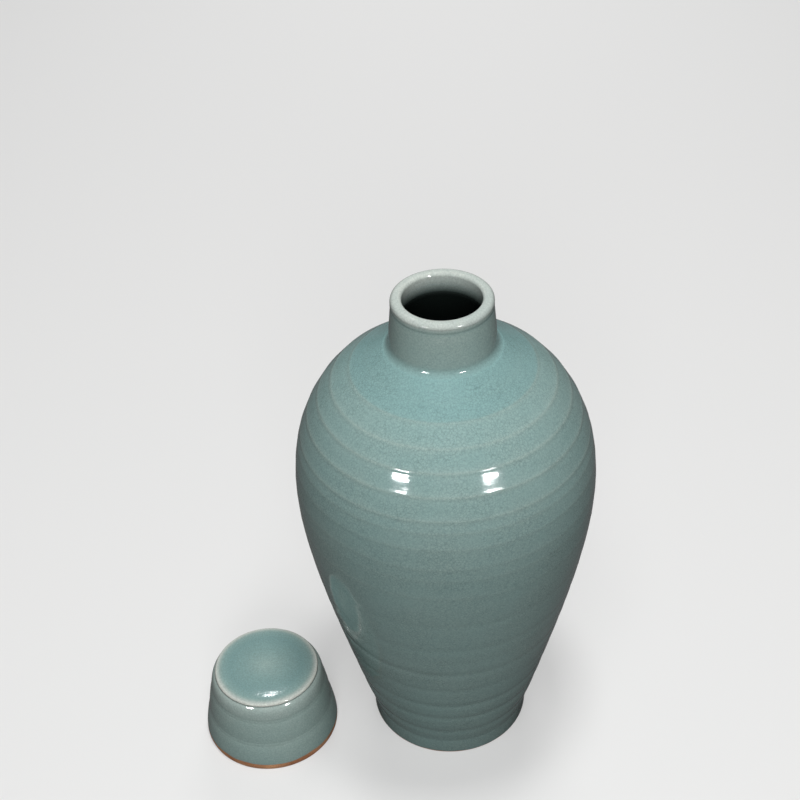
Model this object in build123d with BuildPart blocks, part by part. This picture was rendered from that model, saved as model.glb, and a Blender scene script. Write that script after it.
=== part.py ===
from build123d import *
import os

# Covered meiping vase of celadon stoneware, with its cap standing beside it.
# Lengths are in millimetres. The origin is the middle of the foot, on the floor,
# +Z is up along the vase's axis, and the photographed front faces -Y.

# Foot of the vase: a turned ring round a sunk base
foot_radius = 46.5
foot_height = 10.0
foot_ring_width = 8.0
foot_recess_depth = 6.0
floor_thickness = 9.0
floor_radius = 35.0

# Wall of the vase: thrown in two sections, which are luted together under the belly
belly_radius = 82.3
belly_height = 182.0
shoulder_height = 270.0
wall_thickness = 6.0

# Neck: a short collar luted on the shoulder with a fillet of slip, with a rolled lip
neck_height = 30.0
neck_seat_radius = 31.0
neck_base_radius = 28.4
neck_fillet_height = 2.6
neck_top_radius = 26.7
lip_height = 5.4
lip_groove_depth = 0.7
lip_groove_width = 1.8
lip_roll = 1.3
mouth_radius = 20.6
mouth_roll = 1.0

# Cap: an inverted cup that goes down over the neck and rests on the shoulder
cap_axis_x = -109.8
cap_axis_y = -17.6
cap_height = 48.5
cap_rim_radius = 39.5
cap_skirt_radius = 40.0
cap_low_groove_radius = 37.1
cap_high_groove_radius = 34.3
cap_crown_radius = 30.9
cap_crown_rise = 1.6
cap_crown_edge = 0.8
cap_crown_slope = 3.4
cap_groove_depth = 0.4
cap_groove_fall = 1.5
cap_wall_thickness = 4.6
cap_crown_thickness = 5.0

# Throwing rings: how far a crest stands over the groove under it, and how far below it lies
ring_depth = 0.8
ring_fall = 5.0
# Flat bands of the upper wall: how far the crests between them stand out of its form, and how
# many of the bands, counted up from the seam, stand nearly upright
band_crest_rise = 0.3
upright_bands = 4

# Stations of the wall between the foot and the belly: share of the way up, share of the way out
lower_wall_shares = [(0.10, 0.14), (0.26, 0.34), (0.52, 0.645), (0.78, 0.895)]
# Stations of the shoulder between the belly and the neck: share of the way up, share of the way in
shoulder_shares = [(0.2, 0.018), (0.39, 0.083), (0.59, 0.228), (0.795, 0.51), (0.91, 0.79)]
# Where the two thrown sections meet, as a share of the wall's length from foot to neck
seam_share = 0.5
# Crests of the rings as shares of the wall's length, each with its share of the ring depth
lower_ring_shares = [
    (0.034, 0.8),
    (0.0875, 1.0),
    (0.143, 1.0),
    (0.205, 1.0),
    (0.258, 0.9),
    (0.314, 0.9),
    (0.375, 0.8),
    (0.431, 0.7),
]
# Crests between the flat bands above the seam, as shares of the same length
band_crest_shares = [0.565, 0.641, 0.702, 0.745, 0.789, 0.8325, 0.875, 0.922]
# Where the inside of the upper section turns, as shares of the same length
upper_inside_shares = [0.66, 0.82]
# Turns of the cap's wall, as shares of the cap's height
cap_skirt_share = 0.05
cap_low_groove_share = 0.385
cap_high_groove_share = 0.725


with BuildLine() as vase_form:
    lower_stations = [
        (
            foot_radius + out * (belly_radius - foot_radius),
            foot_height + up * (belly_height - foot_height),
        )
        for up, out in lower_wall_shares
    ]
    shoulder_stations = [
        (
            belly_radius - out * (belly_radius - neck_seat_radius),
            belly_height + up * (shoulder_height - belly_height),
        )
        for up, out in shoulder_shares
    ]
    Spline(
        (foot_radius, foot_height),
        *lower_stations,
        (belly_radius, belly_height),
        *shoulder_stations,
        (neck_seat_radius, shoulder_height),
    )

wall_form = vase_form.edge()


def wall_point(share, outward=0):
    """A point beside the form of the wall, in radius and height."""
    along = wall_form % share
    point = wall_form @ share
    return (point.X + outward * along.Y, point.Y - outward * along.X)


def ringed_wall(ring_shares):
    """The outside of a thrown wall: a crest at each ring, with its groove under it."""
    fall = ring_fall / wall_form.length
    points = []
    for share, strength in ring_shares:
        points.append(wall_point(share - fall, -strength * ring_depth / 2))
        points.append(wall_point(share, strength * ring_depth / 2))
    return points


def straight_bands(*points):
    """Straight runs from point to point. Each is drawn as a curve of two points, which turns
    into a lighter face than a line does where it stands nearly upright."""
    for start, end in zip(points, points[1:]):
        Bezier(start, end)


seam_outer, seam_height = wall_point(seam_share)
seam_inner = seam_outer - wall_thickness
floor_height = foot_recess_depth + floor_thickness
recess_radius = foot_radius - foot_ring_width

with BuildPart() as lower_body:
    with BuildSketch(Plane.XZ):
        with BuildLine():
            Polyline(
                (0, foot_recess_depth),
                (recess_radius, foot_recess_depth),
                (recess_radius, 0),
                (foot_radius, 0),
                (foot_radius, foot_height),
            )
            straight_bands(
                (foot_radius, foot_height),
                *ringed_wall(lower_ring_shares),
                (seam_outer, seam_height),
            )
            Polyline(
                (seam_outer, seam_height),
                (seam_inner, seam_height),
                (floor_radius, floor_height),
                (0, floor_height),
                (0, foot_recess_depth),
            )
        make_face()
    revolve(axis=Axis.Z)
lower_body.part.label = "lower_body"

outside_points = [wall_point(share, band_crest_rise) for share in band_crest_shares]
inside_points = [wall_point(share, -wall_thickness) for share in upper_inside_shares]
with BuildPart() as upper_body:
    with BuildSketch(Plane.XZ):
        with BuildLine():
            straight_bands((seam_outer, seam_height), *outside_points[:upright_bands])
            Polyline(
                *outside_points[upright_bands - 1:],
                (neck_seat_radius, shoulder_height),
                (mouth_radius, shoulder_height),
                *inside_points[::-1],
            )
            straight_bands(inside_points[0], (seam_inner, seam_height))
            Line((seam_inner, seam_height), (seam_outer, seam_height))
        make_face()
    revolve(axis=Axis.Z)
upper_body.part.label = "upper_body"

vase_height = shoulder_height + neck_height
groove_height = vase_height - lip_height
neck_middle_radius = (neck_base_radius + neck_top_radius) / 2
with BuildPart() as neck:
    with BuildSketch(Plane.XZ):
        with BuildLine():
            Polyline(
                (mouth_radius, shoulder_height),
                (neck_seat_radius, shoulder_height),
                (neck_base_radius, shoulder_height + neck_fillet_height),
            )
            straight_bands(
                (neck_base_radius, shoulder_height + neck_fillet_height),
                (neck_middle_radius, shoulder_height + neck_height / 2),
                (neck_top_radius, groove_height - lip_groove_width / 2),
                (neck_top_radius - lip_groove_depth, groove_height),
                (neck_top_radius, groove_height + lip_groove_width / 2),
                (neck_top_radius, vase_height - lip_roll),
            )
            Polyline(
                (neck_top_radius, vase_height - lip_roll),
                (neck_top_radius - lip_roll, vase_height),
                (mouth_radius + mouth_roll, vase_height),
                (mouth_radius, vase_height - mouth_roll),
                (mouth_radius, shoulder_height),
            )
        make_face()
    revolve(axis=Axis.Z)
neck.part.label = "neck"

# The cap's axis, and the upright plane through it that its outline is drawn in
cap_line = Axis((cap_axis_x, cap_axis_y, 0), (0, 0, 1))
cap_plane = Plane(origin=(cap_axis_x, cap_axis_y, 0), x_dir=(1, 0, 0), z_dir=(0, -1, 0))
ceiling_height = cap_height - cap_crown_thickness
crown_foot_height = cap_height - cap_crown_rise


def cap_groove(share, radius):
    """A groove round the cap, from the lip of the band under it up to its own bottom."""
    height = share * cap_height
    return [(radius + cap_groove_depth, height - cap_groove_fall), (radius, height)]


with BuildPart() as cap:
    with BuildSketch(cap_plane):
        with BuildLine():
            straight_bands(
                (cap_rim_radius, 0),
                (cap_skirt_radius, cap_skirt_share * cap_height),
            )
            Polyline(
                (cap_skirt_radius, cap_skirt_share * cap_height),
                *cap_groove(cap_low_groove_share, cap_low_groove_radius),
                *cap_groove(cap_high_groove_share, cap_high_groove_radius),
                (cap_crown_radius, crown_foot_height),
                (cap_crown_radius - cap_crown_edge, crown_foot_height + cap_crown_edge),
                (cap_crown_radius - cap_crown_slope, cap_height),
                (0, cap_height),
                (0, ceiling_height),
                (cap_crown_radius - cap_crown_slope, ceiling_height),
                (cap_rim_radius - cap_wall_thickness, 0),
                (cap_rim_radius, 0),
            )
        make_face()
    revolve(axis=cap_line)
cap.part.label = "cap"

os.makedirs("parts", exist_ok=True)
for piece in (lower_body, upper_body, neck, cap):
    export_step(piece.part, f"parts/{piece.part.label}.step")
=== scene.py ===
import math

import bpy
import numpy as np
from mathutils import Euler, Matrix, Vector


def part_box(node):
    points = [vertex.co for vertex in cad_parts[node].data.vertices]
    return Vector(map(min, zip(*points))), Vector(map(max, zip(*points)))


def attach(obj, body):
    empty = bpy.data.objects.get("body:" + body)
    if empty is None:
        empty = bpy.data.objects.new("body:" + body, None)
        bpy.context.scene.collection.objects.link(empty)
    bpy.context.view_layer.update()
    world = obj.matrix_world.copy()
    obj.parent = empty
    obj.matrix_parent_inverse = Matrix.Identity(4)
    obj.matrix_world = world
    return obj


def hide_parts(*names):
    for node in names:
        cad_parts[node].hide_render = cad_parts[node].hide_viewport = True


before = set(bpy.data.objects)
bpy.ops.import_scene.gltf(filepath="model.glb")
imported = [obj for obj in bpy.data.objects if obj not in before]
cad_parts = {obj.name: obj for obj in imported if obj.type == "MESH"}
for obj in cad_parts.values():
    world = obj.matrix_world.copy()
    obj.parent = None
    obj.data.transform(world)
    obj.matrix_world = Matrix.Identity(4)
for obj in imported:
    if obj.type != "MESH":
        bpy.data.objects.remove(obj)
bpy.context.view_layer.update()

# The lower body. The potter throws it in one piece with its floor, and turns the foot ring and the
# sunk base when the clay is leather hard. Its wall keeps the bands of the throwing, and the glaze
# stops a millimetre above the bare ring that it stands on.
seam_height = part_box("lower_body")[1].z
shoulder_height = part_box("upper_body")[1].z
foot_radius = 0.0465
foot_height = 0.010
foot_ring_width = 0.008
foot_recess_depth = 0.006
foot_edge = 0.0009
floor_height = 0.015
floor_radius = 0.035
belly_radius = 0.0823
belly_height = 0.182
neck_seat_radius = 0.0310
wall_thickness = 0.006

# The form of the wall as shares of the way up and the way out, first to the belly, then to the neck
lower_wall_shares = [(0.10, 0.14), (0.26, 0.34), (0.52, 0.645), (0.78, 0.895)]
shoulder_shares = [(0.2, 0.018), (0.39, 0.083), (0.59, 0.228), (0.795, 0.51), (0.91, 0.79)]
# Below the seam the rings are soft waves: the share of the wall's length at each groove, and its
# share of the depth. Above it, bands that a rib has flattened meet at fine crests.
wave_shares = [
    (0.007, 0.2), (0.048, 1.25), (0.111, 1.15), (0.167, 0.85), (0.232, 0.4), (0.299, 0.8), (0.345, 0.2),
    (0.391, 0.5), (0.475, 0.35),
]
bands_foot_share = 0.525
crest_shares = [
    (0.565, 0.3), (0.612, 0.25), (0.641, 0.3), (0.686, 0.35), (0.720, 0.4), (0.745, 0.8),
    (0.789, 1.0), (0.8325, 1.0), (0.875, 1.0), (0.922, 0.9), (0.960, 0.2),
]
wave_depth = 0.00034
groove_width = 0.0030
ridge_height = 0.00009
ridge_width = 0.0012
# Under each ridge lies a groove: its share of the ridge's height, and how many widths lower it is
ridge_groove_share = 0.8
ridge_groove_drop = 1.9
band_flatness = 0.7
band_softness = 0.0016
band_samples = 7
# How far a ring sways up and down, and how much of a wave fades, on the way round the pot. The turns
# are how much further round, in radians, the next ring or wave up does the same.
ring_sway = 0.00025
ring_sway_turn = 2.4
wave_fade_share = 0.2
wave_fade_turn = 1.3
wall_step = 0.0011
wall_columns = 256
curve_samples = 60
# Beside a crest the outline has more points: from where to where in steps, and how many
finer_from = -1.6
finer_to = 1.2
finer_count = 9
# A point nearer to the axis than this is on it, and an edge sharper than this angle shows
axis_reach = 1e-7
crease_angle = 50


def smooth_curve(stations, step, finer_at=()):
    """Points about a step apart on the smoothest curve through the stations, in radius and height,
    with their lengths up the curve. They lie closer beside the shares of its length in finer_at."""
    stations = np.array(stations)
    gaps = np.linalg.norm(np.diff(stations, axis=0), axis=1)
    count = len(stations)
    system = np.eye(count)
    pull = np.zeros((count, 2))
    for i in range(1, count - 1):
        system[i, i - 1:i + 2] = gaps[i - 1], 2 * (gaps[i - 1] + gaps[i]), gaps[i]
        ahead = (stations[i + 1] - stations[i]) / gaps[i]
        behind = (stations[i] - stations[i - 1]) / gaps[i - 1]
        pull[i] = 6 * (ahead - behind)
    bend = np.linalg.solve(system, pull)
    fine = []
    for i, gap in enumerate(gaps):
        near = np.linspace(0, 1, curve_samples, endpoint=i == count - 2)[:, None]
        far = 1 - near
        fine.append(
            far * stations[i] + near * stations[i + 1]
            + gap ** 2 / 6 * ((far ** 3 - far) * bend[i] + (near ** 3 - near) * bend[i + 1])
        )
    fine = np.concatenate(fine)
    along = np.append(0, np.cumsum(np.linalg.norm(np.diff(fine, axis=0), axis=1)))
    lengths = np.linspace(0, along[-1], int(round(along[-1] / step)) + 1)
    for place in finer_at:
        beside = place * along[-1] + step * np.linspace(finer_from, finer_to, finer_count)
        lengths = np.append(lengths[(lengths < beside[0]) | (lengths > beside[-1])], beside)
    lengths = np.sort(lengths)
    return np.stack([np.interp(lengths, along, fine[:, k]) for k in (0, 1)], axis=1), lengths


def outward(line):
    """The outward direction of a line of points that runs up the outside of a piece."""
    along = np.gradient(line, axis=0)
    along /= np.linalg.norm(along, axis=1)[:, None]
    return np.stack([along[:, 1], -along[:, 0]], axis=1)


def wave_relief(lengths, turn, wall_length):
    """How far the waves of the throwing sink in from the wall's form at one angle round it: a soft
    groove at each place, of a depth that wanders a little round the pot."""
    relief = np.zeros(len(lengths))
    for number, (share, strength) in enumerate(wave_shares):
        groove = share * wall_length + ring_sway * math.sin(turn + ring_sway_turn * number)
        fade = 1 + wave_fade_share * math.sin(2 * turn + wave_fade_turn * number)
        depth = wave_depth * strength * fade
        relief -= depth * np.exp(-((lengths - groove) / groove_width) ** 2)
    return relief


def band_relief(form, lengths, turn, wall_length):
    """How far the flattened bands stand out of the wall's form at one angle round it: they lie
    towards straight runs from crest to crest, and a fine ridge stands along each crest."""
    relief = np.zeros(len(lengths))
    crests = [(bands_foot_share * wall_length, 0), *[(s * wall_length, k) for s, k in crest_shares]]
    crests.append((wall_length, 0))
    normals = outward(form)
    for (low, _), (high, _) in zip(crests, crests[1:]):
        here = (lengths >= low) & (lengths <= high)
        foot = np.array([np.interp(low, lengths, form[:, k]) for k in (0, 1)])
        top = np.array([np.interp(high, lengths, form[:, k]) for k in (0, 1)])
        run = top - foot
        across = np.array([run[1], -run[0]])
        sink = (foot - form[here]) @ across / (normals[here] @ across)
        relief[here] += band_flatness * sink
    beside = band_softness * np.linspace(-1, 1, band_samples)
    relief = np.mean([np.interp(lengths + reach, lengths, relief) for reach in beside], axis=0)
    for number, (crest, strength) in enumerate(crests[1:-1]):
        sway = math.sin(turn + ring_sway_turn * number) + 0.5 * math.sin(2 * turn + number)
        away = (lengths - (crest + ring_sway * sway)) / ridge_width
        under_ridge = ridge_groove_share * np.exp(-(away + ridge_groove_drop) ** 2)
        relief += strength * ridge_height * (np.exp(-away ** 2) - under_ridge)
    return relief


def turned_piece(name, outline, columns, thin, dark_and_shade, centre=(0, 0), relief=None):
    """A closed mesh turned about an upright axis from an outline of radius and height that runs up
    the outside and down the inside. relief moves its points out, for each column and outline point.
    thin is how thin the glaze lies on each outline point, from 0 where it pools to 1 where it is
    cream, and dark_and_shade is how far it is taken towards near black, from 0 to 1: painted shade
    inside the pieces, and darker glaze and clay lines on the outside."""
    normals = outward(outline)
    if relief is None:
        relief = np.zeros((columns, len(outline)))
    points, thins, dark_and_shade_values, rows = [], [], [], []
    for i, (radius, height) in enumerate(outline):
        if radius < axis_reach:
            rows.append([len(points)])
            points.append((centre[0], centre[1], height))
            thins.append(thin[i])
            dark_and_shade_values.append(dark_and_shade[i])
            continue
        rows.append(list(range(len(points), len(points) + columns)))
        for column in range(columns):
            turn = 2 * math.pi * column / columns
            out = radius + relief[column, i] * normals[i, 0]
            up = height + relief[column, i] * normals[i, 1]
            points.append((centre[0] + out * math.cos(turn), centre[1] + out * math.sin(turn), up))
        thins += [thin[i]] * columns
        dark_and_shade_values += [dark_and_shade[i]] * columns
    faces = []
    starts_on_axis = len(rows[0]) == 1
    for lower, upper in zip(rows, rows[1:] + ([] if starts_on_axis else rows[:1])):
        for column in range(columns):
            beside = (column + 1) % columns
            if len(lower) == 1 and len(upper) == 1:
                break
            if len(lower) == 1:
                faces.append((lower[0], upper[beside], upper[column]))
            elif len(upper) == 1:
                faces.append((lower[column], lower[beside], upper[0]))
            else:
                faces.append((lower[column], lower[beside], upper[beside], upper[column]))
    mesh = bpy.data.meshes.new(name)
    mesh.from_pydata(points, [], faces)
    mesh.polygons.foreach_set("use_smooth", [True] * len(mesh.polygons))
    mesh.set_sharp_from_angle(angle=math.radians(crease_angle))
    mesh.attributes.new("glaze_thin", "FLOAT", "POINT").data.foreach_set("value", thins)
    mesh.attributes.new("glaze_dark_and_painted_shade", "FLOAT", "POINT").data.foreach_set("value", dark_and_shade_values)
    piece = bpy.data.objects.new(name, mesh)
    bpy.context.scene.collection.objects.link(piece)
    return piece


def node(tree, kind, place, **values):
    """A shader node with its settings and the plain values of its sockets."""
    made = tree.nodes.new(kind)
    made.location = place
    for key, value in values.items():
        if key.startswith("in_"):
            socket = key.removeprefix("in_").replace("_", " ")
            made.inputs[int(socket) if socket.isdigit() else socket].default_value = value
        else:
            setattr(made, key, value)
    return made


def crackle_group():
    """Fine cracks in the glaze: the edges between cells, darker where the tea or ink has got in,
    fading out in patches. Out comes a mask of the cracks."""
    group = bpy.data.node_groups.new("glaze_crackle", "ShaderNodeTree")
    for name, value in (("Cells per metre", 300.0), ("Crack width", 0.08), ("Patchiness", 0.5)):
        socket = group.interface.new_socket(name, in_out="INPUT", socket_type="NodeSocketFloat")
        socket.default_value = value
    group.interface.new_socket("Cracks", in_out="OUTPUT", socket_type="NodeSocketFloat")
    start = node(group, "NodeGroupInput", (-900, 0))
    end = node(group, "NodeGroupOutput", (700, 0))
    place = node(group, "ShaderNodeTexCoord", (-900, 300))
    wander = node(group, "ShaderNodeTexNoise", (-700, 300), in_Scale=160.0, in_Detail=2.0)
    shift = node(group, "ShaderNodeVectorMath", (-500, 300), operation="MULTIPLY_ADD")
    crack_wander = 0.0016
    shift.inputs[1].default_value = (crack_wander, crack_wander, crack_wander)
    cells = node(group, "ShaderNodeTexVoronoi", (-300, 200), feature="DISTANCE_TO_EDGE")
    line = node(
        group, "ShaderNodeMapRange", (-100, 100), interpolation_type="SMOOTHSTEP",
        in_1=0.0, in_3=1.0, in_4=0.0,
    )
    patches = node(group, "ShaderNodeTexNoise", (-300, -200), in_Scale=45.0, in_Detail=3.0)
    fade = node(group, "ShaderNodeMapRange", (-100, -200), in_1=0.35, in_2=0.65, in_3=1.0, in_4=0.0)
    keep = node(group, "ShaderNodeMath", (100, -200), operation="MULTIPLY")
    left = node(group, "ShaderNodeMath", (300, -200), operation="SUBTRACT", in_0=1.0)
    mask = node(group, "ShaderNodeMath", (500, 0), operation="MULTIPLY")
    link = group.links.new
    link(place.outputs["Object"], wander.inputs["Vector"])
    link(wander.outputs["Color"], shift.inputs[0])
    link(place.outputs["Object"], shift.inputs[2])
    link(shift.outputs[0], cells.inputs["Vector"])
    link(start.outputs["Cells per metre"], cells.inputs["Scale"])
    link(cells.outputs["Distance"], line.inputs[0])
    link(start.outputs["Crack width"], line.inputs[2])
    link(place.outputs["Object"], patches.inputs["Vector"])
    link(patches.outputs["Fac"], fade.inputs[0])
    link(fade.outputs[0], keep.inputs[0])
    link(start.outputs["Patchiness"], keep.inputs[1])
    link(keep.outputs[0], left.inputs[1])
    link(line.outputs[0], mask.inputs[0])
    link(left.outputs[0], mask.inputs[1])
    link(mask.outputs[0], end.inputs[0])
    return group


def celadon_group():
    """The celadon glaze: blue-green where it pools, greyer where it thins, cream where it has run off
    an edge, clouded, specked and crackled. Out come its colour, its roughness and its waviness."""
    group = bpy.data.node_groups.new("celadon_glaze", "ShaderNodeTree")
    for name, value in (("Thin", 0.3), ("Dark and painted shade", 0.0), ("Fine crackle", 0.3), ("Wide crackle", 0.3)):
        socket = group.interface.new_socket(name, in_out="INPUT", socket_type="NodeSocketFloat")
        socket.default_value = value
    group.interface.new_socket("Colour", in_out="OUTPUT", socket_type="NodeSocketColor")
    group.interface.new_socket("Roughness", in_out="OUTPUT", socket_type="NodeSocketFloat")
    group.interface.new_socket("Height", in_out="OUTPUT", socket_type="NodeSocketFloat")
    start = node(group, "NodeGroupInput", (-1300, 0))
    end = node(group, "NodeGroupOutput", (1300, 0))
    place = node(group, "ShaderNodeTexCoord", (-1300, 400))
    clouds = node(group, "ShaderNodeTexNoise", (-1100, 400), in_Scale=22.0, in_Detail=4.0, in_Roughness=0.6)
    cloud_lift = node(group, "ShaderNodeMapRange", (-900, 400), in_1=0.3, in_2=0.7, in_3=-0.06, in_4=0.06)
    thinness = node(group, "ShaderNodeMath", (-700, 300), operation="ADD", use_clamp=True)
    tint = node(group, "ShaderNodeValToRGB", (-500, 300))
    ramp = tint.color_ramp
    ramp.elements[0].position = 0.0
    ramp.elements[0].color = (0.225, 0.385, 0.382, 1)
    ramp.elements[1].position = 1.0
    ramp.elements[1].color = (0.76, 0.77, 0.70, 1)
    for position, colour in (
        (0.30, (0.252, 0.388, 0.374, 1)),
        (0.55, (0.322, 0.430, 0.402, 1)),
        (0.80, (0.475, 0.532, 0.500, 1)),
    ):
        ramp.elements.new(position).color = colour
    specks = node(group, "ShaderNodeTexNoise", (-500, 0), in_Scale=1100.0, in_Detail=2.0, in_Roughness=0.7)
    speck_lift = node(group, "ShaderNodeMapRange", (-300, 0), in_1=0.3, in_2=0.7, in_3=0.86, in_4=1.12)
    specked = node(group, "ShaderNodeVectorMath", (-100, 200), operation="SCALE")
    fine = node(
        group, "ShaderNodeGroup", (-500, -250), node_tree=crackle,
        in_Cells_per_metre=640.0, in_Crack_width=0.16, in_Patchiness=0.6,
    )
    wide = node(
        group, "ShaderNodeGroup", (-500, -450), node_tree=crackle,
        in_Cells_per_metre=260.0, in_Crack_width=0.06, in_Patchiness=0.6,
    )
    fine_strength = node(group, "ShaderNodeMath", (-100, -250), operation="MULTIPLY")
    wide_strength = node(group, "ShaderNodeMath", (-100, -450), operation="MULTIPLY")
    cracks = node(group, "ShaderNodeMath", (100, -350), operation="ADD", use_clamp=True)
    crack_stain = (0.075, 0.150, 0.150, 1)
    stained = node(group, "ShaderNodeMix", (400, 200), data_type="RGBA", blend_type="MIX", in_7=crack_stain)
    # The dark input takes the colour towards this near black: painted shade inside the pieces and down the
    # throat, and darker glaze and clay lines on the outside
    near_black = (0.006, 0.009, 0.008, 1)
    darkened = node(group, "ShaderNodeMix", (700, 200), data_type="RGBA", blend_type="MIX", in_7=near_black)
    waves = node(group, "ShaderNodeTexNoise", (100, -650), in_Scale=320.0, in_Detail=2.0)
    swell = node(group, "ShaderNodeTexNoise", (100, -850), in_Scale=60.0, in_Detail=1.0)
    swell_lift = node(group, "ShaderNodeMath", (300, -850), operation="MULTIPLY", in_1=2.5)
    height = node(group, "ShaderNodeMath", (500, -650), operation="ADD")
    rough = node(group, "ShaderNodeMapRange", (500, -350), in_1=0.3, in_2=0.7, in_3=0.07, in_4=0.13)
    link = group.links.new
    link(place.outputs["Object"], clouds.inputs["Vector"])
    link(clouds.outputs["Fac"], cloud_lift.inputs[0])
    link(start.outputs["Thin"], thinness.inputs[0])
    link(cloud_lift.outputs[0], thinness.inputs[1])
    link(thinness.outputs[0], tint.inputs[0])
    link(place.outputs["Object"], specks.inputs["Vector"])
    link(specks.outputs["Fac"], speck_lift.inputs[0])
    link(tint.outputs["Color"], specked.inputs[0])
    link(speck_lift.outputs[0], specked.inputs["Scale"])
    link(fine.outputs[0], fine_strength.inputs[0])
    link(start.outputs["Fine crackle"], fine_strength.inputs[1])
    link(wide.outputs[0], wide_strength.inputs[0])
    link(start.outputs["Wide crackle"], wide_strength.inputs[1])
    link(fine_strength.outputs[0], cracks.inputs[0])
    link(wide_strength.outputs[0], cracks.inputs[1])
    link(cracks.outputs[0], stained.inputs[0])
    link(specked.outputs[0], stained.inputs[6])
    link(place.outputs["Object"], waves.inputs["Vector"])
    link(place.outputs["Object"], swell.inputs["Vector"])
    link(swell.outputs["Fac"], swell_lift.inputs[0])
    link(waves.outputs["Fac"], height.inputs[0])
    link(swell_lift.outputs[0], height.inputs[1])
    link(clouds.outputs["Fac"], rough.inputs[0])
    link(start.outputs["Dark and painted shade"], darkened.inputs[0])
    link(stained.outputs[2], darkened.inputs[6])
    link(darkened.outputs[2], end.inputs["Colour"])
    link(rough.outputs[0], end.inputs["Roughness"])
    link(height.outputs[0], end.inputs["Height"])
    return group


def clay_group():
    """Bare stoneware that the kiln has turned rust brown: grainy, with darker grog in it."""
    group = bpy.data.node_groups.new("bare_clay", "ShaderNodeTree")
    group.interface.new_socket("Colour", in_out="OUTPUT", socket_type="NodeSocketColor")
    group.interface.new_socket("Height", in_out="OUTPUT", socket_type="NodeSocketFloat")
    end = node(group, "NodeGroupOutput", (600, 0))
    place = node(group, "ShaderNodeTexCoord", (-500, 0))
    toast = node(group, "ShaderNodeTexNoise", (-300, 150), in_Scale=70.0, in_Detail=5.0)
    tint = node(group, "ShaderNodeValToRGB", (-100, 150))
    tint.color_ramp.elements[0].position = 0.3
    tint.color_ramp.elements[0].color = (0.38, 0.15, 0.065, 1)
    tint.color_ramp.elements[1].position = 0.7
    tint.color_ramp.elements[1].color = (0.72, 0.37, 0.19, 1)
    grain = node(group, "ShaderNodeTexNoise", (-300, -150), in_Scale=1400.0, in_Detail=3.0)
    grain_lift = node(group, "ShaderNodeMapRange", (-100, -150), in_1=0.3, in_2=0.7, in_3=0.80, in_4=1.15)
    grained = node(group, "ShaderNodeVectorMath", (200, 100), operation="SCALE")
    link = group.links.new
    link(place.outputs["Object"], toast.inputs["Vector"])
    link(toast.outputs["Fac"], tint.inputs[0])
    link(place.outputs["Object"], grain.inputs["Vector"])
    link(grain.outputs["Fac"], grain_lift.inputs[0])
    link(tint.outputs["Color"], grained.inputs[0])
    link(grain_lift.outputs[0], grained.inputs["Scale"])
    link(grained.outputs[0], end.inputs["Colour"])
    link(grain.outputs["Fac"], end.inputs["Height"])
    return group


def glazed_stoneware(name, bare_height, fine_crackle, wide_crackle):
    """Celadon over stoneware, with the clay bare below a height that wavers a little. The glaze comes
    in between two heights over that one, and the waver lowers both from place to place."""
    waver_height = 0.0022
    glaze_edge_low = 0.0009
    glaze_edge_high = 0.0013
    clay_roughness = 0.8
    material = bpy.data.materials.new(name)
    material.use_nodes = True
    tree = material.node_tree
    shader = tree.nodes["Principled BSDF"]
    shader.inputs["IOR"].default_value = 1.5
    glaze = node(tree, "ShaderNodeGroup", (-700, 300), node_tree=celadon)
    glaze.inputs["Fine crackle"].default_value = fine_crackle
    glaze.inputs["Wide crackle"].default_value = wide_crackle
    thin = node(tree, "ShaderNodeAttribute", (-950, 300), attribute_name="glaze_thin")
    dark_and_shade = node(tree, "ShaderNodeAttribute", (-950, 100), attribute_name="glaze_dark_and_painted_shade")
    clay = node(tree, "ShaderNodeGroup", (-700, 0), node_tree=bare_clay)
    place = node(tree, "ShaderNodeTexCoord", (-1300, -300))
    split = node(tree, "ShaderNodeSeparateXYZ", (-1100, -300))
    waver = node(tree, "ShaderNodeTexNoise", (-1100, -500), in_Scale=55.0, in_Detail=3.0)
    drip = node(tree, "ShaderNodeMath", (-900, -300), operation="MULTIPLY_ADD", in_1=waver_height)
    bare = node(tree, "ShaderNodeMapRange", (-700, -300), interpolation_type="SMOOTHSTEP")
    bare.inputs[1].default_value = bare_height + glaze_edge_low
    bare.inputs[2].default_value = bare_height + glaze_edge_high
    bare.inputs[3].default_value = 1.0
    bare.inputs[4].default_value = 0.0
    colour = node(tree, "ShaderNodeMix", (-400, 300), data_type="RGBA")
    rough = node(tree, "ShaderNodeMix", (-400, 50), data_type="FLOAT")
    rough.inputs[3].default_value = clay_roughness
    height = node(tree, "ShaderNodeMix", (-400, -150), data_type="FLOAT")
    bump = node(tree, "ShaderNodeBump", (-200, -150), in_Strength=0.12, in_Distance=0.0004)
    link = tree.links.new
    link(thin.outputs["Fac"], glaze.inputs["Thin"])
    link(dark_and_shade.outputs["Fac"], glaze.inputs["Dark and painted shade"])
    link(place.outputs["Object"], split.inputs[0])
    link(place.outputs["Object"], waver.inputs["Vector"])
    link(waver.outputs["Fac"], drip.inputs[0])
    link(split.outputs["Z"], drip.inputs[2])
    link(drip.outputs[0], bare.inputs[0])
    link(bare.outputs[0], colour.inputs[0])
    link(glaze.outputs["Colour"], colour.inputs[6])
    link(clay.outputs["Colour"], colour.inputs[7])
    link(bare.outputs[0], rough.inputs[0])
    link(glaze.outputs["Roughness"], rough.inputs[2])
    link(bare.outputs[0], height.inputs[0])
    link(glaze.outputs["Height"], height.inputs[2])
    link(clay.outputs["Height"], height.inputs[3])
    link(height.outputs[0], bump.inputs["Height"])
    link(colour.outputs[2], shader.inputs["Base Color"])
    link(rough.outputs[0], shader.inputs["Roughness"])
    link(bump.outputs[0], shader.inputs["Normal"])
    return material


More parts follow.
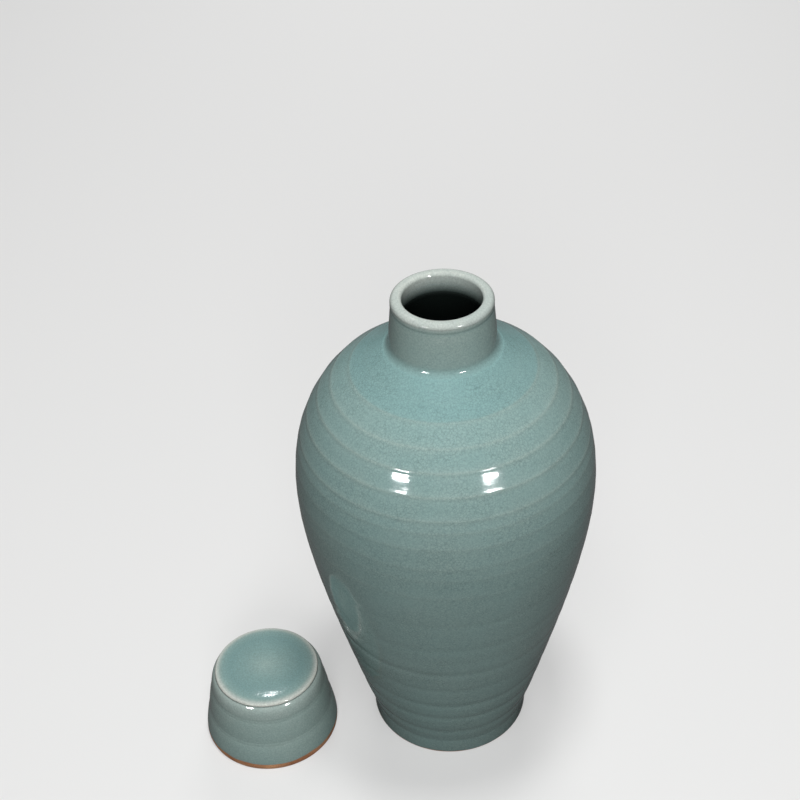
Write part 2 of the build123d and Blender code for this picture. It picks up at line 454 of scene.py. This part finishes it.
wall_stations = [(foot_radius, foot_height)]
for up, out in lower_wall_shares:
    wall_stations.append((
        foot_radius + out * (belly_radius - foot_radius),
        foot_height + up * (belly_height - foot_height),
    ))
wall_stations.append((belly_radius, belly_height))
for up, out in shoulder_shares:
    wall_stations.append((
        belly_radius - out * (belly_radius - neck_seat_radius),
        belly_height + up * (shoulder_height - belly_height),
    ))
wall_stations.append((neck_seat_radius, shoulder_height))
wall_form, wall_lengths = smooth_curve(wall_stations, wall_step, [share for share, _ in crest_shares])
wall_length = wall_lengths[-1]
wall_relief = np.array([
    wave_relief(wall_lengths, turn, wall_length) + band_relief(wall_form, wall_lengths, turn, wall_length)
    for turn in 2 * math.pi * np.arange(wall_columns) / wall_columns
])
seam_row = int(np.argmin(abs(wall_form[:, 1] - seam_height)))


def graded(places, table, unit=1):
    """The values at the places, on straight runs through a table of places, in units, and values."""
    steps, values = zip(*table)
    return np.interp(places, np.array(steps) * unit, values)


# The glaze pools blue round the neck, inside the highest crest but one, and has drawn off the fine
# crests, where it leaves a thin light line in a soft halo
wall_thin_shares = [(0, 0.40), (0.5, 0.42), (0.75, 0.38), (0.92, 0.33), (0.925, 0.10), (1, 0.08)]
halo_thin = 0.07
halo_width = 0.0024
crest_line_thin = 0.10
crest_line_width = 0.0007
wall_shares = wall_lengths / wall_length
wall_thin = graded(wall_shares, wall_thin_shares)
for share, strength in crest_shares:
    away = abs(wall_shares - share) * wall_length
    halo = halo_thin * np.exp(-(away / halo_width) ** 2)
    crest_line = crest_line_thin * np.exp(-(away / crest_line_width) ** 2)
    wall_thin += strength * (halo + crest_line)

crackle = crackle_group()
celadon = celadon_group()
bare_clay = clay_group()
body_glaze = glazed_stoneware("body_celadon", bare_height=0.0009, fine_crackle=0.30, wide_crackle=0.16)

recess_radius = foot_radius - foot_ring_width
under_foot = [
    (0, foot_recess_depth),
    (recess_radius - foot_edge, foot_recess_depth),
    (recess_radius, foot_recess_depth - foot_edge),
    (recess_radius, foot_edge),
    (recess_radius + foot_edge, 0),
    (foot_radius - foot_edge, 0),
    (foot_radius - foot_edge / 3, foot_edge / 3),
    (foot_radius, foot_edge),
]
inside_wall = wall_form - outward(wall_form) * wall_thickness
inside_rows_apart = 8
# The inside of the body is painted all the way to near black: painted shade
inside_painted_shade = 1.0
hidden_thin = 0.4


def wall_section(name, outline, first, wall_rows):
    """A section of the wall from its outline, whose points from first on are these rows of the form.
    The points after them are its inside, painted near black as shade."""
    rows = slice(first, first + len(wall_form[wall_rows]))
    relief = np.zeros((wall_columns, len(outline)))
    relief[:, rows] = wall_relief[:, wall_rows]
    thin = np.full(len(outline), hidden_thin)
    thin[rows] = wall_thin[wall_rows]
    dark_and_shade = np.where(np.arange(len(outline)) >= rows.stop, inside_painted_shade, 0)
    section = turned_piece(name, outline, wall_columns, thin, dark_and_shade, relief=relief)
    section.data.materials.append(body_glaze)
    return section


low_rows = slice(0, seam_row + 1)
low_inside = [point for point in inside_wall[low_rows][::-inside_rows_apart] if point[1] > 2 * floor_height]
low_outline = np.array([
    *under_foot,
    *wall_form[low_rows],
    *low_inside,
    (floor_radius, floor_height),
    (0, floor_height),
])
lower_wall = wall_section("lower_wall", low_outline, len(under_foot), low_rows)
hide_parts("lower_body")
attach(lower_wall, "vase")

# The upper body. It is thrown apart, set on the lower one when both are leather hard and luted with
# slip, so the wall runs on without a mark. A rib has pressed its rings into broad flat bands.
throat_radius = 0.0206
throat_flare = 1.3
high_rows = slice(seam_row, None)
# The inside stops where it has drawn in to nearly the throat, and short of the seam's own row, which
# closes the outline
inside_rows = slice(seam_row + inside_rows_apart // 2, None)
high_inside = [
    point for point in inside_wall[inside_rows][::-inside_rows_apart]
    if point[0] > throat_flare * throat_radius
]
high_outline = np.array([
    *wall_form[high_rows],
    (throat_radius, shoulder_height),
    *high_inside,
    inside_wall[seam_row],
])
upper_wall = wall_section("upper_wall", high_outline, 0, high_rows)
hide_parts("upper_body")
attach(upper_wall, "vase")

# The neck. A short collar, thrown apart and luted on the shoulder with a small fillet of slip. Its
# lip is rolled over and marked off by a fine groove, and the glaze runs thin and pale on it.
vase_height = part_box("neck")[1].z
neck_foot_drop = 0.0001
neck_foot_slope = 31
neck_fillet = 0.0060
neck_lean = 2
neck_base_radius = 0.0282
neck_top_radius = 0.0266
neck_swell = 0.0002
lip_height = 0.0054
lip_draw_in = 0.0001
lip_roll = 0.0026
lip_groove_depth = 0.00022
lip_groove_width = 0.0020
mouth_roll = 0.0020
fillet_points = 12
roll_points = 8
neck_step = 0.0008
throat_step = 0.002
neck_columns = 256


def rounded(centre, radius, start, stop, count):
    """Points on an arc, by the angles of its start and its stop in degrees."""
    angles = np.radians(np.linspace(start, stop, count))
    return [(centre[0] + radius * math.cos(a), centre[1] + radius * math.sin(a)) for a in angles]


def filled_in(corners, step):
    """The corners of an outline with points between them, no further than a step apart."""
    points = [corners[0]]
    for (r0, z0), (r1, z1) in zip(corners, corners[1:]):
        count = max(1, int(math.ceil(math.hypot(r1 - r0, z1 - z0) / step)))
        points += [(r0 + (r1 - r0) * k / count, z0 + (z1 - z0) * k / count) for k in range(1, count + 1)]
    return points


groove_height = vase_height - lip_height
neck_foot = shoulder_height - neck_foot_drop
fillet_rise = neck_fillet * math.cos(math.radians(neck_foot_slope))
fillet_centre = (neck_base_radius + neck_fillet, neck_foot + fillet_rise)
neck_outside = [
    *rounded(fillet_centre, neck_fillet, 270 - neck_foot_slope, 180 + neck_lean, fillet_points),
    ((neck_base_radius + neck_top_radius) / 2 + neck_swell, (shoulder_height + groove_height) / 2),
    (neck_top_radius, groove_height - lip_groove_width / 2),
    (neck_top_radius - lip_groove_depth, groove_height),
    (neck_top_radius, groove_height + lip_groove_width / 2),
    (neck_top_radius - lip_draw_in, vase_height - lip_height / 2),
    *rounded((neck_top_radius - lip_roll, vase_height - lip_roll), lip_roll, 0, 90, roll_points),
    *rounded((throat_radius + mouth_roll, vase_height - mouth_roll), mouth_roll, 90, 180, roll_points),
]
throat = [(throat_radius, vase_height - 2 * mouth_roll), (throat_radius, neck_foot)]
neck_outline = np.array(filled_in(neck_outside, neck_step) + filled_in(throat, throat_step))
# How thin the glaze is at heights up the neck, from the shoulder to the lip
neck_thin = graded(neck_outline[:, 1], [
    (shoulder_height, 0.12),
    (shoulder_height + neck_fillet, 0.48),
    (groove_height - lip_groove_width, 0.55),
    (groove_height, 0.48),
    (groove_height + lip_groove_width, 0.64),
    (vase_height - lip_roll, 0.80),
    (vase_height, 0.82),
])
# Down the throat the glaze is painted nearly black as shade: how thin it is and how far the painted
# shade goes, by shares of the depth that stays pale
throat_pale_depth = 0.009
throat_thin_shares = [(0, 0.85), (0.5, 0.78), (1.2, 0.6)]
throat_painted_shade_shares = [(0.5, 0), (1.3, inside_painted_shade)]
# Along the lip's groove the glaze is a little darker, towards near black
groove_darkening = 0.10
groove_darkening_share = 0.35
in_throat = neck_outline[:, 0] < throat_radius + mouth_roll
throat_depth = vase_height - neck_outline[:, 1]
throat_thin = graded(throat_depth, throat_thin_shares, throat_pale_depth)
neck_thin = np.where(in_throat, throat_thin, neck_thin)
from_groove = (neck_outline[:, 1] - groove_height) / (groove_darkening_share * lip_groove_width)
in_groove = groove_darkening * np.exp(-from_groove ** 2)
throat_painted_shade = graded(throat_depth, throat_painted_shade_shares, throat_pale_depth)
neck_dark_and_shade = np.where(in_throat, throat_painted_shade, in_groove)
neck_glaze = glazed_stoneware("neck_celadon", bare_height=0.0, fine_crackle=0.12, wide_crackle=0.10)
collar = turned_piece("neck_collar", neck_outline, neck_columns, neck_thin, neck_dark_and_shade)
collar.data.materials.append(neck_glaze)
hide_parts("neck")
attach(collar, "vase")

# The cap. An inverted cup, thrown and turned, that goes down over the neck and rests on the
# shoulder. Its crown swells a little inside a pale edge, and its rim is bare so as not to stick.
cap_low, cap_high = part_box("cap")
cap_centre = ((cap_low.x + cap_high.x) / 2, (cap_low.y + cap_high.y) / 2)
cap_height = cap_high.z
cap_rim_radius = 0.0395
cap_crown_radius = 0.0309
cap_crown_rise = 0.0016
cap_crown_thickness = 0.005
cap_dome_rise = 0.0013
cap_wall = 0.0046
cap_edge = 0.0015
cap_step = 0.0004
cap_columns = 256
# The side of the cap as stations up it: share of its height, radius. Two shallow steps part it into
# three soft bands.
cap_side = [
    (0.0, 0.0396), (0.02, 0.0399), (0.06, 0.0400), (0.13, 0.0397), (0.21, 0.0391), (0.29, 0.0384),
    (0.35, 0.0377), (0.39, 0.03725), (0.43, 0.0369), (0.48, 0.0366), (0.56, 0.0360), (0.64, 0.0353),
    (0.695, 0.0347), (0.735, 0.03425), (0.77, 0.0340), (0.82, 0.0336), (0.87, 0.0330), (0.91, 0.0321),
    (0.935, 0.0311),
]
side_points, _ = smooth_curve([(radius, share * cap_height) for share, radius in cap_side], cap_step)
# The crown's edge is an arc between two angles, whose centre lies a share of its radius below the
# crown's side. The dome starts a share in from it, and falls away steeply only towards it.
edge_start = -8
edge_stop = 76
edge_points = 11
edge_drop_share = 0.6
dome_start_share = 0.8
crown_fall = 5
crown_steps = 40
crown_side = cap_height - cap_crown_rise
crown_edge_height = crown_side - edge_drop_share * cap_edge
edge_centre = (cap_crown_radius - cap_edge, crown_edge_height)
crown = rounded(edge_centre, cap_edge, edge_start, edge_stop, edge_points)
for k in range(1, crown_steps + 1):
    share = 1 - k / crown_steps
    reach = (cap_crown_radius - dome_start_share * cap_edge) * share
    crown.append((reach, cap_height - cap_dome_rise * (reach / cap_crown_radius) ** crown_fall))
cap_ceiling = cap_height - cap_crown_thickness
ceiling_corner_in = 0.002
ceiling_corner_out = 0.001
ceiling_corner_drop = 0.003
rim_inner_edge = 0.0006
rim_outer_edge = 0.0004
cap_inside = [
    (0, cap_ceiling),
    (cap_crown_radius - cap_wall - ceiling_corner_in, cap_ceiling),
    (cap_crown_radius - cap_wall + ceiling_corner_out, cap_ceiling - ceiling_corner_drop),
    (cap_rim_radius - cap_wall, rim_inner_edge),
    (cap_rim_radius - cap_wall + rim_inner_edge, 0),
    (cap_rim_radius - rim_outer_edge, 0),
]
cap_outline = np.array([*side_points, *crown, *cap_inside])
cap_share = cap_outline[:, 1] / cap_height
on_outside = np.arange(len(cap_outline)) < len(side_points) + len(crown)
# Two fine lines mark each step, one a gap over its middle and one under it
groove_shares = [0.390, 0.735]
cap_line_gap = 0.0010
cap_line_depth = 0.00007
cap_line_width = 0.0004
in_lines = np.zeros(len(cap_outline))
for share in groove_shares:
    for side in (-1, 1):
        away = (cap_outline[:, 1] - share * cap_height - side * cap_line_gap) / cap_line_width
        in_lines += np.where(on_outside, np.exp(-away ** 2), 0)
cap_relief = -cap_line_depth * in_lines
# The glaze is cream along the crown's edge, and under the edge a brown line of clay shows through.
# The side goes by shares of the height and the crown by shares of its radius. Where the crown starts,
# and the brown line's place and width, are shares of the edge's own radius.
side_thin_shares = [
    (0, 0.44), (0.15, 0.50), (0.38, 0.56), (0.44, 0.54), (0.74, 0.59), (0.80, 0.63), (0.93, 0.67),
]
crown_thin_shares = [(0, 0.46), (0.3, 0.34), (0.7, 0.14), (0.86, 0.34), (0.95, 0.82), (1, 0.94)]
crown_dark_shares = [(0, 0.07), (0.3, 0.13), (0.7, 0.19), (0.9, 0.08), (1, 0)]
crown_start_share = 0.1
brown_line_share = 0.15
brown_width_share = 0.25
brown_dark = 0.5
cap_line_dark = 0.08
cup_thin = 0.5
# The inside of the cup is taken part of the way to near black: painted shade
cup_painted_shade = 0.3
cap_reach = cap_outline[:, 0] / cap_crown_radius
on_crown = (cap_outline[:, 1] > crown_edge_height - crown_start_share * cap_edge) & on_outside
outside_thin = np.where(on_crown, graded(cap_reach, crown_thin_shares), graded(cap_share, side_thin_shares))
cap_thin = np.where(on_outside, outside_thin, cup_thin)
brown_height = crown_edge_height - brown_line_share * cap_edge
from_brown = (cap_outline[:, 1] - brown_height) / (brown_width_share * cap_edge)
crown_dark = np.where(on_crown, graded(cap_reach, crown_dark_shares), 0)
outside_dark = crown_dark + brown_dark * np.exp(-from_brown ** 2) + cap_line_dark * in_lines
cap_dark_and_shade = np.where(on_outside, outside_dark, cup_painted_shade)
cap_glaze = glazed_stoneware("cap_celadon", bare_height=0.0040, fine_crackle=0.10, wide_crackle=0.05)
cap_cup = turned_piece(
    "cap_cup", cap_outline, cap_columns, cap_thin, cap_dark_and_shade,
    centre=cap_centre, relief=np.tile(cap_relief, (cap_columns, 1)),
)
cap_cup.data.materials.append(cap_glaze)
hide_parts("cap")
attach(cap_cup, "cap")

# The floor, a plain pale sheet of paper that runs out of sight. It is pale to the camera and keeps the
# shadows, but it throws back little light, so that the glaze keeps its depth.
floor_reach = 40.0
pale = (0.46, 0.46, 0.455, 1)
dim = (0.07, 0.07, 0.07, 1)
floor_glow = 0.36
mirrored_share = 0.08


def surroundings_seen(tree):
    """How much of the pale surroundings a ray sees: all of them from the camera or through glass, a
    small share in the glaze's mirror, and nothing where it only lights the pot."""
    path = node(tree, "ShaderNodeLightPath", (-800, 0))
    mirrored = node(tree, "ShaderNodeMath", (-600, -100), operation="MULTIPLY", in_1=mirrored_share)
    seen = node(tree, "ShaderNodeMath", (-400, 0), operation="MAXIMUM")
    seen_through = node(tree, "ShaderNodeMath", (-400, -200), operation="MAXIMUM")
    tree.links.new(path.outputs["Is Glossy Ray"], mirrored.inputs[0])
    tree.links.new(path.outputs["Is Camera Ray"], seen.inputs[0])
    tree.links.new(mirrored.outputs[0], seen.inputs[1])
    tree.links.new(seen.outputs[0], seen_through.inputs[0])
    tree.links.new(path.outputs["Is Transmission Ray"], seen_through.inputs[1])
    return seen_through.outputs[0]


floor_mesh = bpy.data.meshes.new("floor")
floor_mesh.from_pydata(
    [(-floor_reach, -floor_reach, 0), (floor_reach, -floor_reach, 0),
     (floor_reach, floor_reach, 0), (-floor_reach, floor_reach, 0)],
    [], [(0, 1, 2, 3)],
)
floor = bpy.data.objects.new("floor", floor_mesh)
bpy.context.scene.collection.objects.link(floor)
floor_paper = bpy.data.materials.new("floor_paper")
floor_paper.use_nodes = True
tree = floor_paper.node_tree
shader = tree.nodes["Principled BSDF"]
shader.inputs["Emission Color"].default_value = (1, 1, 1, 1)
shader.inputs["Roughness"].default_value = 0.9
shader.inputs["Specular IOR Level"].default_value = 0.1
seen = surroundings_seen(tree)
shade = node(tree, "ShaderNodeMix", (-200, 0), data_type="RGBA", in_6=dim, in_7=pale)
glow = node(tree, "ShaderNodeMath", (-200, -200), operation="MULTIPLY", in_1=floor_glow)
tree.links.new(seen, shade.inputs[0])
tree.links.new(seen, glow.inputs[0])
tree.links.new(shade.outputs[2], shader.inputs["Base Color"])
tree.links.new(glow.outputs[0], shader.inputs["Emission Strength"])
floor_mesh.materials.append(floor_paper)

# The light: a dim room, soft boxes over, before and behind the vase, and three small lamps that show
# only as the glaze's highlights
scene = bpy.context.scene
scene.view_settings.view_transform = "Standard"
dim_air = (0.035, 0.035, 0.035, 1)
pale_air = (0.50, 0.50, 0.50, 1)
world = bpy.data.worlds.new("room")
scene.world = world
world.use_nodes = True
tree = world.node_tree
background = tree.nodes["Background"]
background.inputs["Strength"].default_value = 1.0
air = node(tree, "ShaderNodeMix", (-200, 0), data_type="RGBA", in_6=dim_air, in_7=pale_air)
tree.links.new(surroundings_seen(tree), air.inputs[0])
tree.links.new(air.outputs[2], background.inputs["Color"])

light_target = (0.0, -0.05, 0.18)


def soft_light(name, turn, climb, distance, width, height, watts, mirrored=False):
    """A flat lamp that faces the vase, by its angle round from the front and up from the floor. The
    large boxes light the glaze and the small lamps are mirrored in it."""
    lamp = bpy.data.lights.new(name, "AREA")
    lamp.shape = "RECTANGLE"
    lamp.size = width
    lamp.size_y = height
    lamp.energy = watts
    holder = bpy.data.objects.new(name, lamp)
    holder.visible_glossy = mirrored
    holder.visible_diffuse = not mirrored
    scene.collection.objects.link(holder)
    turn, climb = math.radians(turn), math.radians(climb)
    way = np.array([math.sin(turn) * math.cos(climb), -math.cos(turn) * math.cos(climb), math.sin(climb)])
    place = np.array(light_target) + distance * way
    side = np.array([math.cos(turn), math.sin(turn), 0])
    up = np.cross(way, side)
    holder.matrix_world = Matrix([(side[k], up[k], way[k], place[k]) for k in range(3)] + [(0, 0, 0, 1)])


soft_light("box_over", turn=90, climb=87, distance=1.7, width=0.32, height=0.32, watts=14.5)
soft_light("box_high", turn=0, climb=64, distance=1.7, width=0.8, height=0.7, watts=10.2)
soft_light("box_front", turn=0, climb=28, distance=1.9, width=0.8, height=0.6, watts=15.4)
soft_light("box_behind", turn=180, climb=26, distance=1.9, width=0.9, height=0.7, watts=10.0)
soft_light(
    "lamp_back", turn=17.4, climb=127, distance=1.4, width=0.07, height=0.03, watts=0.6, mirrored=True,
)
for name, turn in (("lamp_left", -36), ("lamp_right", 36)):
    soft_light(name, turn, climb=20.5, distance=1.3, width=0.24, height=0.065, watts=7.5, mirrored=True)

# The camera, at the photograph's place: in front of the vase and looking down on it. Its angles are
# in degrees, the tilt up from straight down.
camera_place = (0.0, -0.61835, 0.71769)
camera_tilt = 51.9552
camera_roll = 1.9253
camera_turn = 0.6557
camera_data = bpy.data.cameras.new("camera")
camera_data.sensor_width = 36.0
camera_data.lens = 66.6
camera_data.clip_start = 0.01
camera_data.clip_end = 200.0
camera = bpy.data.objects.new("camera", camera_data)
scene.collection.objects.link(camera)
camera_angles = Euler([math.radians(angle) for angle in (camera_tilt, camera_roll, camera_turn)])
camera.matrix_world = Matrix.Translation(camera_place) @ camera_angles.to_matrix().to_4x4()
scene.camera = camera
